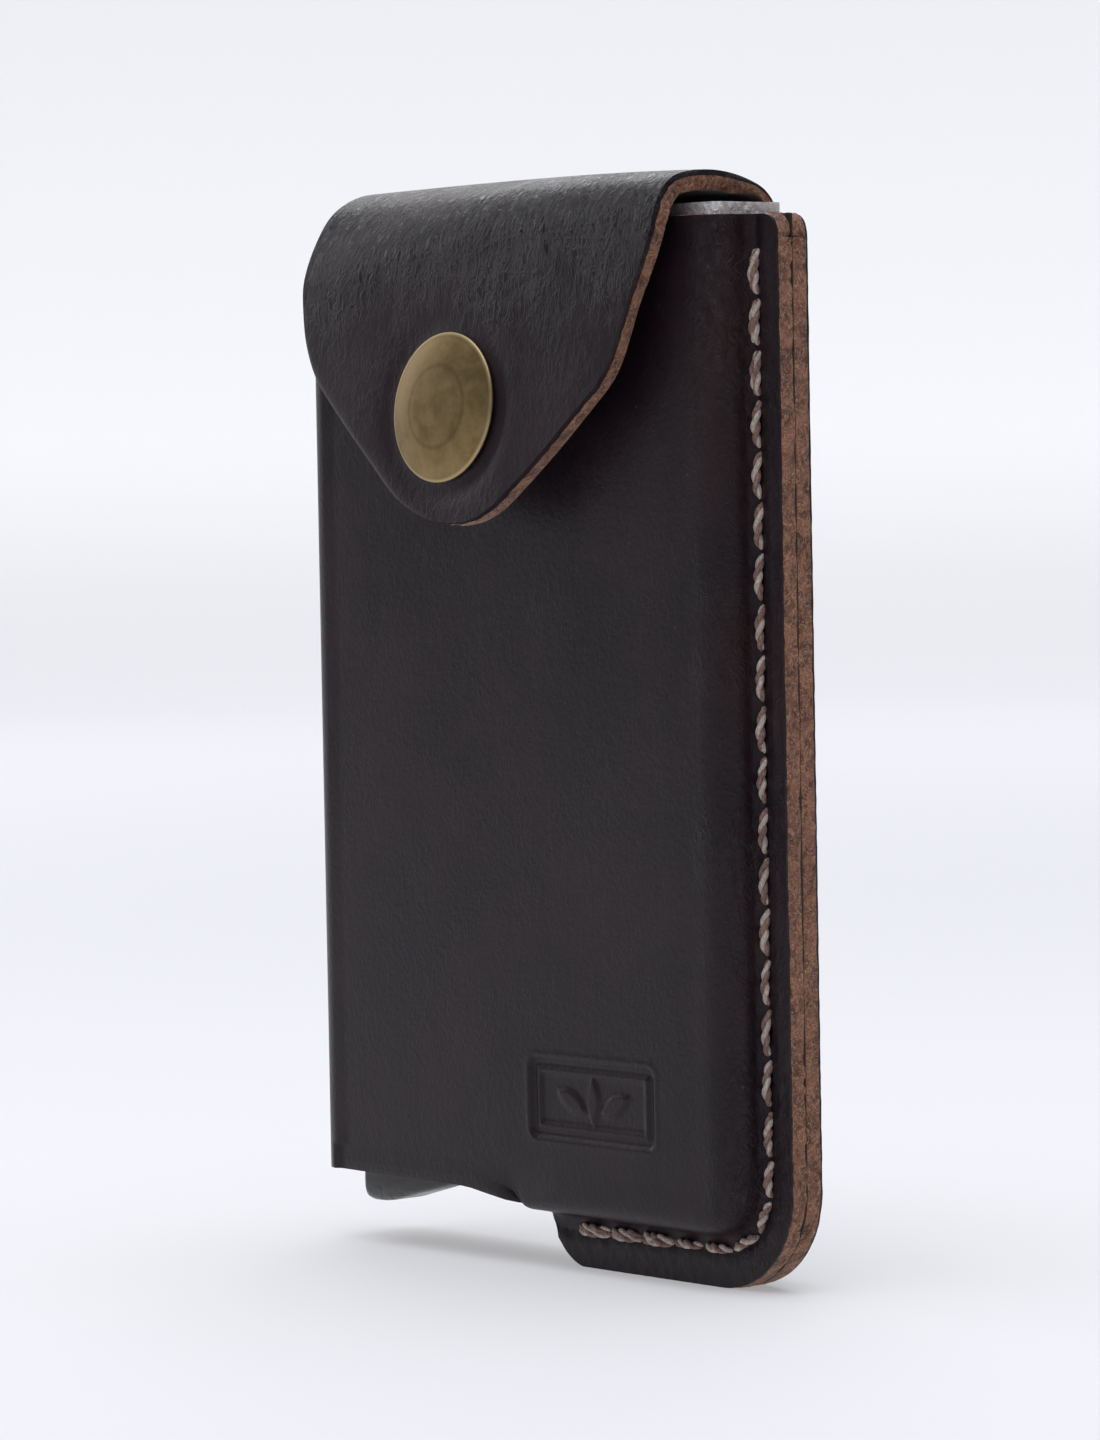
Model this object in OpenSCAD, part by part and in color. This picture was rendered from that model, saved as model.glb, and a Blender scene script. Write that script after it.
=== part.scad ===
// Pop-up card case: an aluminium card shell in a stitched leather sleeve with a snap flap.
// Millimetres, +Z up, front towards -Y. The origin is under the centre of the bounding box.

/* [Leather sleeve] */
// Width of the sleeve from the left fold to the flange's raw edge
body_w = 66.7; // [64:0.1:70]
// Thickness of the sleeve, front face to back face
body_t = 13.4; // [13.2:0.1:14]
// Height of the sleeve's top edge above the bottom of the stitched tab
sleeve_h = 103.7; // [103:0.1:108]
// Thickness of the leather
leather_t = 1.95; // [1.8:0.05:2]
// Radius of the left fold
fold_r = 3.2; // [2.5:0.1:4]
// Radius of the shoulder beside and above the flange
shoulder_r = 3; // [2:0.1:3.5]
// Height of the sleeve's open edge at the lower left
open_edge_z = 7.45; // [7:0.05:8]

/* [Flange] */
// Thickness of the two flange layers with their cement
flange_t = 4.1; // [3.8:0.1:4.4]
// Thickness of the cement film
cement_t = 0.2; // [0.1:0.05:0.3]
// Width of the flange outside the shoulder's wall
flange_w = 3.7; // [3:0.1:5]
// Radius of the flange's lower right corner
corner_r = 10; // [8:0.5:11]
// Left end of the bottom tab
tab_x = -1.6; // [-4:0.1:0]
// Radius of the bottom tab's left corner
tab_r = 4; // [1:0.1:5]

/* [Stitching] */
// Distance of the seam from the flange's right edge
seam_inset = 3; // [2.5:0.1:3.5]
// Height of the seam's bottom row
seam_z = 3.8; // [3.6:0.1:4.2]
// Height of the first stitch hole
seam_top_z = 101; // [95:0.5:102]
// Left end of the bottom row
seam_end_x = 2.3; // [1.5:0.1:8]
// Number of stitches along the whole seam
stitches = 26; // [20:1:30]
// Thickest radius of a stitch
thread_r = 0.5; // [0.4:0.05:0.6]

/* [Card shell] */
// Depth of the aluminium shell
shell_d = 9.2; // [9:0.1:9.4]
// Wall of the shell
shell_wall = 1.2; // [1:0.1:1.4]
// Outer corner radius of the shell
shell_r = 1.3; // [1:0.1:2]
// Height of the shell's lower edge
shell_z = 8.2; // [8:0.1:8.6]
// Height of the shell's rim
shell_top_z = 105; // [104.8:0.1:105]

/* [Flap] */
// Half of the flap's width
flap_half_w = 26.4; // [24:0.1:26.5]
// Height of the flap's tip
flap_tip_z = 74.5; // [70:0.5:78]
// Highest point of the flap's bend
flap_crest_z = 108.2; // [108.2:0.1:110]
// Outward lean of the flap's front, in degrees
flap_lean = 7; // [5:0.5:8]

/* [Snap] */
// Radius of the domed cap
cap_r = 7.5; // [6:0.1:8]
// Height of the snap's centre
snap_z = 85.9; // [85:0.1:88]
// Sideways place of the snap's centre
snap_x = -3.9; // [-5:0.1:0]

/* [Ejector lever] */
// Thickness of the lever
lever_t = 6.2; // [5.8:0.1:6.2]
// Sideways place of the lever's pivot
pivot_x = -26.9; // [-27:0.1:-26.5]
// Height of the lever's pivot
pivot_z = 12.2; // [12:0.1:12.4]
// Radius of the lever's pin
pin_r = 1; // [0.8:0.1:1.2]
// Height of the arm's top, on which the cards stand
card_floor_z = 18; // [17.8:0.1:18.2]

/* [Hidden] */
$fn = 64;
eps = 0.01;
far = 60;

// Sideways places, from the centre of the sleeve's width
left_x = -body_w / 2;
right_x = body_w / 2;
wall_x = right_x - flange_w;
shell_x0 = left_x + leather_t + 0.05;
shell_x1 = wall_x - leather_t - 0.05;
case_mid_x = (shell_x0 + shell_x1) / 2;

// Depths, from the sleeve's mid-plane
half_t = body_t / 2;
room_half = half_t - leather_t;
bore_half = shell_d / 2 - shell_wall;
tape_t = room_half - shell_d / 2;
hem_z = shell_z - leather_t;

// The seam runs down the flange, round its corner and along the tab
seam_bend_r = 6;
seam_x = right_x - seam_inset;
seam_corner = [seam_x - seam_bend_r, seam_z + seam_bend_r];
seam_side = seam_top_z - seam_corner[1];
seam_bend = seam_bend_r * PI / 2;
seam_foot = seam_corner[0] - seam_end_x;
pitch = (seam_side + seam_bend + seam_foot) / stitches;
hole_r = 0.45;
thread_gap = 0.05;

// The flap's bend: a wide top arc between a front and a back shoulder arc
crest_y = -2.64;
top_r = 17;
front_r = 5;
back_r = 4.5;
front_turn = 102;
back_turn = acos((half_t - back_r - crest_y) / (top_r - back_r));
top_c = [crest_y, flap_crest_z - top_r];
front_c = top_c + (top_r - front_r) * [cos(front_turn), sin(front_turn)];
back_c = top_c + (top_r - back_r) * [cos(back_turn), sin(back_turn)];
face_turn = 180 - flap_lean;

// The flap's outline to the left and right of its tip: slope in degrees, radius of the tip and of the corner
left_outline = [40, 17, 13];
right_outline = [35, 13, 8];

// The snap sits on the leaning face of the flap
face_top = front_c + front_r * [cos(face_turn), sin(face_turn)];
snap_y = face_top[0] - (face_top[1] - snap_z) * tan(flap_lean);
cap_h = 1.4;
rim_h = 0.5;
socket_h = 2.2;
stud_h = 2.6;
stem_r = 1.6;
stem_rivet = 0.4;
post_r = 1.1;
post_h = 2;
spring_z = -1.6;

// The cap's dome, from its thin rim to its centre
dome_steps = 8;
dome = [for (i = [0:dome_steps]) let (r = (cap_r - rim_h) * (1 - i / dome_steps))
        [r, rim_h + (cap_h - rim_h) * (1 - pow(r / (cap_r - rim_h), 3))]];

// The lower part of the dome is foremost, so the box runs from there to the back face
front_y = snap_y - max([for (p = dome) p[1] * cos(flap_lean) + p[0] * sin(flap_lean)]);
shift_y = -(front_y + half_t) / 2;

// The lever's hub runs between the bracket's ears
ear_r = 3;
ear_in = 2.4;
hub_half = 2.3;
hub_clear_r = ear_r + 0.4;
pin_gap = 0.05;
arm_tips = [24, 18, 12, 6, 0];
layer_t = lever_t / len(arm_tips);

// The lever's thumb tab below the shell, whose lower edge sweeps up to an end under the floor plate
thumb_z = 3.8;
thumb_r = 1.5;
thumb_rise = 15;
thumb_sweep_r = 9;
thumb_sweep_c = [pivot_x - 1.7, thumb_z + thumb_sweep_r];
thumb_sweep_end = thumb_sweep_c + thumb_sweep_r * [sin(thumb_rise), -cos(thumb_rise)];
thumb_end_x = pivot_x + 14.4;
thumb_end = [thumb_end_x, thumb_sweep_end[1] + (thumb_end_x - thumb_sweep_end[0]) * tan(thumb_rise)];

// The floor plate starts clear of the circle on which the thumb tab's end turns
floor_t = 1.2;
floor_x = pivot_x + norm(thumb_end - [pivot_x, pivot_z]) + 0.5;

// Felt strips near the shell's mouth, and the adhesive sheets
pad_t = 0.4;
pad_half_w = 20;
pad_z0 = 88;
pad_z1 = 98;
tape_half_w = 24;
tape_z0 = 15;
tape_z1 = 78;

// Points along a circle's arc, from angle a to angle b
function arc(c, r, a, b, n = 12) =
    [for (i = [0:n]) let (turn = a + (b - a) * i / n) c + r * [cos(turn), sin(turn)]];

// The place on the seam's bend at a turn from its start, in degrees
function bend_point(turn) = seam_corner + seam_bend_r * [cos(turn), sin(turn)];

// The place on the seam at distance s from its first hole
function seam_point(s) =
    s < seam_side ? [seam_x, seam_top_z - s]
    : s < seam_side + seam_bend ? bend_point((seam_side - s) / seam_bend * 90)
    : [seam_corner[0] - (s - seam_side - seam_bend), seam_z];

// Moves the case from its mid-plane to the row frame
module in_frame() {
    translate([0, shift_y, 0]) children();
}

// Extrudes an outline drawn in X and Z through the depth from y0 to y1
module plate(y0, y1) {
    translate([0, y1, 0]) rotate([90, 0, 0]) linear_extrude(y1 - y0) children();
}

// Extrudes an outline drawn in Y and Z along X from x0 to x1
module along_x(x0, x1) {
    translate([x0, 0, 0]) rotate([90, 0, 90]) linear_extrude(x1 - x0) children();
}

// A box from its lowest to its highest corner
module block(low, high) {
    translate(low) cube(high - low);
}

// An upright bar whose left and right edges are rounded by their own radii
module upright_bar(x0, x1, half, r0, r1, z0, z1) {
    block([x0 + r0, -half, z0], [x1 - r1, half, z1]);
    block([x0, -half + r0, z0], [x0 + r0 + eps, half - r0, z1]);
    block([x1 - r1 - eps, -half + r1, z0], [x1, half - r1, z1]);
    for (y = [-1, 1]) {
        translate([x0 + r0, y * (half - r0), z0]) cylinder(r = r0, h = z1 - z0);
        translate([x1 - r1, y * (half - r1), z0]) cylinder(r = r1, h = z1 - z0);
    }
}

// The flange's outline with its round lower right corner and the tab's round left corner
module flange_outline() {
    difference() {
        union() {
            translate([shell_x1, 0]) square([right_x - shell_x1, sleeve_h]);
            translate([tab_x, 0]) square([right_x - tab_x, shell_z]);
        }
        difference() {
            translate([right_x - corner_r, -1]) square([corner_r + 1, corner_r + 1]);
            translate([right_x - corner_r, corner_r]) circle(corner_r);
        }
        difference() {
            translate([tab_x - 1, -1]) square([tab_r + 1, tab_r + 1]);
            translate([tab_x + tab_r, tab_r]) circle(tab_r);
        }
    }
}

// Stitch holes through the flange
module seam_holes() {
    for (i = [0:stitches]) {
        p = seam_point(i * pitch);
        translate([p[0], -far / 2, p[1]]) rotate([-90, 0, 0]) cylinder(r = hole_r, h = far);
    }
}

module leather_sleeve() {
    color([0.16, 0.10, 0.08]) in_frame() difference() {
        union() {
            upright_bar(left_x, wall_x, half_t, fold_r, shoulder_r, hem_z, sleeve_h);
            plate(-flange_t / 2, flange_t / 2) flange_outline();
        }
        // Room for the shell, open at the top
        block([left_x + leather_t, -room_half, shell_z], [wall_x - leather_t, room_half, sleeve_h + 1]);
        // The open lower left corner, through which the lever works
        block([left_x + leather_t, -room_half, -1], [tab_x - 1.4, room_half, shell_z + eps]);
        // The open edge climbs to the left
        plate(-far, far) polygon([[left_x - 1, -1], [tab_x, -1], [tab_x, hem_z], [-13, open_edge_z],
                                  [left_x - 1, open_edge_z]]);
        // The shoulder above the tab is rounded like the one beside the flange
        for (side = [-1, 1]) {
            difference() {
                block([tab_x, side > 0 ? half_t - shoulder_r : -half_t - 1, hem_z - 1],
                      [wall_x + 1, side > 0 ? half_t + 1 : -half_t + shoulder_r, hem_z + shoulder_r]);
                translate([tab_x - 1, side * (half_t - shoulder_r), hem_z + shoulder_r])
                    rotate([0, 90, 0]) cylinder(r = shoulder_r, h = body_w);
            }
        }
        // The cement film and the stitch holes
        plate(-cement_t / 2, cement_t / 2) flange_outline();
        seam_holes();
        // The hole for the snap's post
        translate([snap_x, 0, snap_z]) rotate([90, 0, 0]) cylinder(r = stem_r, h = far);
    }
}

module flange_cement() {
    color([0.10, 0.07, 0.05]) in_frame() difference() {
        plate(-cement_t / 2, cement_t / 2) flange_outline();
        block([left_x, -far, shell_z - eps], [shell_x1 + 0.05, far, sleeve_h + 1]);
        seam_holes();
    }
}

// One stitch, thick in its middle and thin where it enters its holes
module stitch(length) {
    rotate_extrude() polygon([[0, -length / 2], [thread_r / 2, -length / 2], [thread_r, -length / 5],
                              [thread_r, length / 5], [thread_r / 2, length / 2], [0, length / 2]]);
}

// Saddle stitches on both faces, and the thread's passes through the holes
module seam_thread() {
    color([0.72, 0.66, 0.56]) in_frame() {
        reach = flange_t / 2 + thread_r;
        for (i = [0:stitches]) {
            p = seam_point(i * pitch);
            translate([p[0], flange_t / 2, p[1]]) rotate([90, 0, 0])
                cylinder(r = hole_r - thread_gap, h = flange_t);
        }
        for (i = [0:stitches - 1]) {
            a = seam_point(i * pitch);
            b = seam_point((i + 1) * pitch);
            for (side = [-1, 1]) {
                translate([(a[0] + b[0]) / 2, side * reach, (a[1] + b[1]) / 2])
                    rotate([0, atan2(b[0] - a[0], b[1] - a[1]), 0]) stitch(norm(b - a) - hole_r);
            }
        }
    }
}

// The side view of the flap, its outer line moved inwards by the inset
module flap_side(inset) {
    foot = [face_top[0] - (face_top[1] - flap_tip_z + 5) * tan(flap_lean), flap_tip_z - 5];
    in_y = inset / cos(flap_lean);
    polygon(concat([[half_t - inset, foot[1]], [foot[0] + in_y, foot[1]]],
                   arc(front_c, front_r - inset, face_turn, front_turn),
                   arc(top_c, top_r - inset, front_turn, back_turn),
                   arc(back_c, back_r - inset, back_turn, 0)));
}

// Points of the flap's outline from its tip over a slope and a round corner to its straight side
function half_outline(slope, tip_r, side_r) =
    let (tip_c = [0, flap_tip_z + tip_r],
         turn = slope - 90,
         slope_end = tip_c + tip_r * [cos(turn), sin(turn)],
         side_x = flap_half_w - side_r,
         side_z = slope_end[1] + (side_r + (side_x - slope_end[0]) * sin(slope)) / cos(slope))
    concat(arc(tip_c, tip_r, -90, turn, 8), arc([side_x, side_z], side_r, turn, 0, 8),
           [[flap_half_w, flap_crest_z + 1]]);

// The flap seen from the front
module flap_outline() {
    right = half_outline(right_outline[0], right_outline[1], right_outline[2]);
    left = half_outline(left_outline[0], left_outline[1], left_outline[2]);
    left_back = [for (i = [len(left) - 1:-1:1]) [-left[i][0], left[i][1]]];
    translate([case_mid_x, 0]) polygon(concat(right, left_back));
}

module leather_flap() {
    color([0.18, 0.11, 0.09]) in_frame() difference() {
        intersection() {
            difference() {
                along_x(-far, far) flap_side(0);
                along_x(-far - 1, far + 1) flap_side(leather_t);
            }
            plate(-far, far) flap_outline();
        }
        // The flap starts at the sleeve's back edge
        block([-far, 0, 0], [far, far, sleeve_h]);
        // The leather is pared where it passes the shell's rim
        block([-far, -room_half, 0], [far, room_half, shell_top_z + 0.25]);
        // The hole for the cap's stem
        on_flap() translate([0, 0, -far / 2]) cylinder(r = stem_r, h = far);
    }
}

// Places a shape on the flap's outer face with its local Z outwards
module on_flap() {
    translate([snap_x, snap_y, snap_z]) rotate([90 - flap_lean, 0, 0]) children();
}

module snap_cap() {
    color([0.55, 0.42, 0.25]) in_frame() on_flap() {
        rim = arc([cap_r - rim_h / 2, rim_h / 2], rim_h / 2, -90, 90, 10);
        rotate_extrude() polygon(concat([[0, 0]], rim, dome));
        // The stem through the flap, riveted into the socket
        translate([0, 0, -leather_t - stem_rivet]) cylinder(r = stem_r, h = leather_t + stem_rivet + eps);
    }
}

module snap_socket() {
    color([0.60, 0.48, 0.30]) in_frame() on_flap() translate([0, 0, -leather_t]) difference() {
        rotate_extrude()
            polygon([[0, 0], [5.5, 0], [5.5, -0.4], [4.2, -0.7], [4, -socket_h], [2.6, -socket_h],
                     [2.6, -0.7], [0, -0.7]]);
        translate([0, 0, -stem_rivet]) cylinder(r = stem_r, h = 1);
        // The groove of the ring spring
        rotate_extrude() translate([2.65, spring_z]) circle(0.35, $fn = 24);
    }
}

module snap_spring() {
    color([0.75, 0.75, 0.75]) in_frame() on_flap() translate([0, 0, -leather_t + spring_z])
        rotate_extrude() translate([2.6, 0]) circle(0.28, $fn = 24);
}

// Places a shape on the sleeve's front face at the snap with its local Z outwards
module on_front() {
    translate([snap_x, -half_t, snap_z]) rotate([90, 0, 0]) children();
}

module snap_stud() {
    color([0.60, 0.48, 0.30]) in_frame() on_front() difference() {
        rotate_extrude()
            polygon([[0, 0], [4, 0], [4, 0.3], [3.6, 0.55], [1.6, 0.55], [1.55, 1.4], [1.95, 1.9],
                     [1.8, 2.4], [1.3, stud_h], [0, stud_h]]);
        translate([0, 0, -eps]) cylinder(r = post_r, h = post_h);
    }
}

module snap_post() {
    color([0.60, 0.48, 0.30]) in_frame() on_front() {
        translate([0, 0, -leather_t]) cylinder(r = stem_r, h = leather_t);
        cylinder(r = post_r, h = post_h - eps);
    }
}

module card_shell() {
    color([0.78, 0.79, 0.80]) in_frame() difference() {
        upright_bar(shell_x0, shell_x1, shell_d / 2, shell_r, shell_r, shell_z, shell_top_z);
        block([shell_x0 + shell_wall, -bore_half, shell_z - 1],
              [shell_x1 - shell_wall, bore_half, shell_top_z + 1]);
    }
}

module floor_plate() {
    color([0.15, 0.15, 0.16]) in_frame()
        block([floor_x, -bore_half, shell_z], [shell_x1 - shell_wall, bore_half, shell_z + floor_t]);
}

module pivot_bracket() {
    back_x = shell_x0 + shell_wall;
    top_z = card_floor_z - 0.4;
    color([0.15, 0.15, 0.16]) in_frame() difference() {
        union() {
            for (side = [-1, 1]) {
                plate(side > 0 ? ear_in : -bore_half, side > 0 ? bore_half : -ear_in) {
                    translate([pivot_x, pivot_z]) circle(ear_r);
                    translate([back_x, pivot_z]) square([pivot_x - back_x, top_z - pivot_z]);
                }
            }
            block([back_x, -bore_half, top_z - 1.8], [back_x + 0.9, bore_half, top_z]);
        }
        translate([pivot_x, far / 2, pivot_z]) rotate([90, 0, 0]) cylinder(r = pin_r, h = far);
    }
}

module lever_pin() {
    color([0.70, 0.70, 0.72]) in_frame()
        translate([pivot_x, bore_half, pivot_z]) rotate([90, 0, 0]) cylinder(r = pin_r, h = 2 * bore_half);
}

// One layer of the arm, from the hub to a round tip
module arm_layer(tip_x) {
    tip = 1.6;
    root_x = pivot_x + 2.9;
    polygon(concat([[root_x, card_floor_z], [root_x, pivot_z - 1.9], [pivot_x + 12, pivot_z - 1.9]],
                   arc([tip_x - tip, card_floor_z - tip], tip, -80, 90, 6)));
}

// The thumb tab with its round corner and rising lower edge
module thumb_outline() {
    left = left_x + leather_t + 0.5;
    polygon(concat([[pivot_x + 12, pivot_z - 1.8], [left, shell_z - 0.3]],
                   arc([left + thumb_r, thumb_z + thumb_r], thumb_r, 180, 270, 6),
                   arc(thumb_sweep_c, thumb_sweep_r, -90, thumb_rise - 90, 4), [thumb_end]));
}

module ejector_lever() {
    color([0.25, 0.25, 0.27]) in_frame() difference() {
        union() {
            plate(-hub_half, hub_half) translate([pivot_x, pivot_z]) circle(hub_clear_r - 0.2);
            plate(-hub_half, hub_half) polygon([[pivot_x - 3, pivot_z - 1], [pivot_x + 3.2, pivot_z],
                [pivot_x + 5, pivot_z - 3], [pivot_x, shell_z - 1], [pivot_x - 2.9, shell_z - 1]]);
            difference() {
                union() {
                    plate(-lever_t / 2, lever_t / 2) thumb_outline();
                    for (i = [0:len(arm_tips) - 1]) {
                        y = -lever_t / 2 + i * layer_t;
                        plate(y, y + layer_t) arm_layer(arm_tips[i]);
                    }
                }
                // Room for the bracket's ears
                for (side = [-1, 1]) {
                    plate(side > 0 ? hub_half : -far, side > 0 ? far : -hub_half)
                        translate([pivot_x, pivot_z]) circle(hub_clear_r);
                }
            }
        }
        translate([pivot_x, far / 2, pivot_z]) rotate([90, 0, 0]) cylinder(r = pin_r + pin_gap, h = far);
    }
}

// A felt strip inside the shell, on the wall at the given side
module friction_pad(side) {
    y0 = side > 0 ? bore_half - pad_t : -bore_half;
    color([0.12, 0.12, 0.12]) in_frame()
        block([case_mid_x - pad_half_w, y0, pad_z0], [case_mid_x + pad_half_w, y0 + pad_t, pad_z1]);
}

module front_friction_pad() {
    friction_pad(-1);
}

module back_friction_pad() {
    friction_pad(1);
}

// A sheet of adhesive between the shell and the leather at the given side
module tape(side) {
    y0 = side > 0 ? shell_d / 2 : -room_half;
    color([0.85, 0.82, 0.70]) in_frame()
        block([case_mid_x - tape_half_w, y0, tape_z0], [case_mid_x + tape_half_w, y0 + tape_t, tape_z1]);
}

module front_tape() {
    tape(-1);
}

module back_tape() {
    tape(1);
}

leather_sleeve();
flange_cement();
seam_thread();
leather_flap();
snap_cap();
snap_socket();
snap_spring();
snap_stud();
snap_post();
card_shell();
floor_plate();
pivot_bracket();
lever_pin();
ejector_lever();
front_friction_pad();
back_friction_pad();
front_tape();
back_tape();
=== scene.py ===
"""Looks of the pop-up card case: stitched leather sleeve, flap with a brass snap, metal shell and lever."""

import math

import bmesh
import bpy
import numpy as np
from mathutils import Matrix, Vector, noise


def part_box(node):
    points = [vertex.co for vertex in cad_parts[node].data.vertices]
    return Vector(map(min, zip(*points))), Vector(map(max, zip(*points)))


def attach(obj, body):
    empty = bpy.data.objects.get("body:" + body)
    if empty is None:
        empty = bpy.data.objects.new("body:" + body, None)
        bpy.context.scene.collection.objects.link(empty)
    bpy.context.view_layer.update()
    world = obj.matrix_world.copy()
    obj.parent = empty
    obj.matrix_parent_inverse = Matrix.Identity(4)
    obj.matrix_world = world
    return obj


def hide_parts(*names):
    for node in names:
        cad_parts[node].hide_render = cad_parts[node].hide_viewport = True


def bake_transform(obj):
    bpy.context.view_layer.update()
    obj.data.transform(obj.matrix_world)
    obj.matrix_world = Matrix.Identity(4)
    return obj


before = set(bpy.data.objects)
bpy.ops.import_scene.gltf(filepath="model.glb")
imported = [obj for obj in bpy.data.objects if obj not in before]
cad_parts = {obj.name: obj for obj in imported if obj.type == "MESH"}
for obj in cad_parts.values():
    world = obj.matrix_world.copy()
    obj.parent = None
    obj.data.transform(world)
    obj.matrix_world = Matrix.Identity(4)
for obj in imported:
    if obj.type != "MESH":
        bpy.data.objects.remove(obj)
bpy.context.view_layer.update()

# ---- sizes, in millimetres
MM = 0.001


def box_mm(node):
    """Lowest and highest corner of a CAD node, in millimetres."""
    low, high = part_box(node)
    return np.array(low) / MM, np.array(high) / MM


SLEEVE_LOW, SLEEVE_HIGH = box_mm("leather_sleeve")
FLAP_LOW, FLAP_HIGH = box_mm("leather_flap")
MID_Y = (SLEEVE_LOW[1] + SLEEVE_HIGH[1]) / 2  # the sleeve's mid-plane; shapes are drawn with it at y = 0
HALF_T = (SLEEVE_HIGH[1] - SLEEVE_LOW[1]) / 2
LEFT, RIGHT, TOP = SLEEVE_LOW[0], SLEEVE_HIGH[0], SLEEVE_HIGH[2]
LEATHER_T = 1.95
FLANGE_HALF = 2.05  # half the thickness of the flange's two layers
LAYER_GAP = 0.04  # how far each layer of the flange keeps from the mid-plane
FOLD_R = 3.2  # outer radius of the left fold
CORNER_R = 10.0
CORNER = np.array([RIGHT - CORNER_R, CORNER_R])  # centre of the flange's lower right corner, in x and z
TAB_X, TAB_R = -1.5, 4.5  # the tab's left edge and the size of its corner
SEAM_INSET, SEAM_Z, SEAM_R = 3.0, 3.8, 6.0  # from the right edge, height of the bottom row, bend's radius
SEAM_BEND = np.array([RIGHT - SEAM_INSET - SEAM_R, SEAM_Z + SEAM_R])  # centre of the seam's bend

FLAP_MID_X = (FLAP_LOW[0] + FLAP_HIGH[0]) / 2
FLAP_HALF_W = (FLAP_HIGH[0] - FLAP_LOW[0]) / 2
FLAP_TIP_Z = FLAP_LOW[2]
CREST_Z = FLAP_HIGH[2]
CREST_Y = -2.64
TOP_R, FRONT_R, BACK_R = 17.0, 5.0, 4.5  # radii of the flap's bend over the top, in front and behind
FRONT_TURN, LEAN = 102.0, 7.0  # in degrees: where the front radius starts, and the lean of the flap's face
LEFT_OUTLINE = (40.0, 17.0, 13.0)  # slope in degrees, radius of the tip, radius of the corner
RIGHT_OUTLINE = (35.0, 13.0, 9.5)

SNAP_X, SNAP_Z, CAP_R = -3.9, 85.9, 7.5
DIP_R = 8.5  # the flap is dipped round the cap at this radius


# ---- meshes
def make_object(name, verts, faces, materials, indices=None):
    """A mesh object from points in millimetres about the sleeve's mid-plane."""
    mesh = bpy.data.meshes.new(name)
    points = (np.asarray(verts, float) + [0, MID_Y, 0]) * MM
    mesh.from_pydata(points.tolist(), [], [list(map(int, f)) for f in faces])
    for material in materials:
        mesh.materials.append(material)
    if indices is not None:
        mesh.polygons.foreach_set("material_index", np.asarray(indices, np.int32))
    mesh.polygons.foreach_set("use_smooth", [True] * len(mesh.polygons))
    mesh.update()
    obj = bpy.data.objects.new(name, mesh)
    bpy.context.scene.collection.objects.link(obj)
    return obj


def grid_quads(rows, cols):
    """Faces of a grid of points stored row by row."""
    i, j = np.meshgrid(np.arange(rows - 1), np.arange(cols - 1), indexing="ij")
    a = (i * cols + j).ravel()
    return np.stack([a, a + cols, a + cols + 1, a + 1], 1)


def ring_quads(rings, count, first=0):
    """Faces between closed rings of count points, stored from the point number first."""
    quads = []
    for i in range(rings - 1):
        for k in range(count):
            a, b = first + i * count + k, first + i * count + (k + 1) % count
            quads.append([a, b, b + count, a + count])
    return quads


WELD_MM = 1e-4


def weld(blocks):
    """One bmesh from grids of points, their shared borders merged and the faces turned outwards."""
    bm = bmesh.new()
    for block in blocks:
        rows, cols = block.shape[:2]
        verts = [bm.verts.new(p) for p in block.reshape(-1, 3)]
        for quad in grid_quads(rows, cols):
            bm.faces.new([verts[k] for k in quad])
    bmesh.ops.remove_doubles(bm, verts=bm.verts, dist=WELD_MM)
    bmesh.ops.dissolve_degenerate(bm, edges=bm.edges, dist=WELD_MM / 10)
    bmesh.ops.recalc_face_normals(bm, faces=bm.faces)
    foremost = min(bm.faces, key=lambda f: f.calc_center_median().y)
    if foremost.normal.y > 0:
        bmesh.ops.reverse_faces(bm, faces=bm.faces)
    return bm


ON_GRAIN, ON_EDGE, ON_FLESH = range(3)  # material numbers of a leather solid


def thicken(bm, thickness, rim_steps, burnished, bulge, rough, settle=None):
    """Verts, faces and material numbers of a leather solid under a skin.

    thickness is a function of the point. The raw edge has rim_steps strips, and the first burnished ones are
    rubbed as smooth as the grain side. bulge is its crown and rough the height of the fibres' bumps. settle
    may correct the flesh side's points.
    """
    bm.normal_update()
    bm.verts.index_update()
    outer = np.array([v.co for v in bm.verts])
    normal = np.array([v.normal for v in bm.verts])
    depth = np.array([thickness(p) for p in outer])
    inner = outer - normal * depth[:, None]
    if settle:
        inner = settle(outer, inner)
    count = len(outer)
    faces = [[v.index for v in f.verts] for f in bm.faces]
    kinds = [ON_GRAIN] * len(faces)
    faces += [[count + k for k in reversed(f)] for f in faces]
    kinds += [ON_FLESH] * (len(faces) - len(kinds))
    border = [e for e in bm.edges if e.is_boundary]
    out = {}
    for e in border:
        loop = e.link_loops[0]
        a, b = loop.vert, loop.link_loop_next.vert
        side = (b.co - a.co).cross(loop.face.normal).normalized()
        for v in (a, b):
            out[v.index] = out.get(v.index, Vector((0, 0, 0))) + side
    verts = [*outer, *inner]
    ring = {}
    for k, side in out.items():
        side = np.array(side.normalized())
        steps = [k]
        for s in range(1, rim_steps):
            t = s / rim_steps
            p = outer[k] * (1 - t) + inner[k] * t
            hump = bulge * (1 - (2 * t - 1) ** 4)
            grain = rough * (noise.noise(Vector(p * 1.7)) + 0.6 * noise.noise(Vector(p * 4.1)))
            steps.append(len(verts))
            verts.append(p + side * (hump + grain))
        ring[k] = [*steps, count + k]
    for e in border:
        loop = e.link_loops[0]
        a, b = loop.vert.index, loop.link_loop_next.vert.index
        for s in range(rim_steps):
            faces.append([ring[b][s], ring[a][s], ring[a][s + 1], ring[b][s + 1]])
            kinds.append(ON_EDGE if s >= burnished else ON_GRAIN)
    bm.free()
    return np.array(verts), faces, kinds


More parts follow.
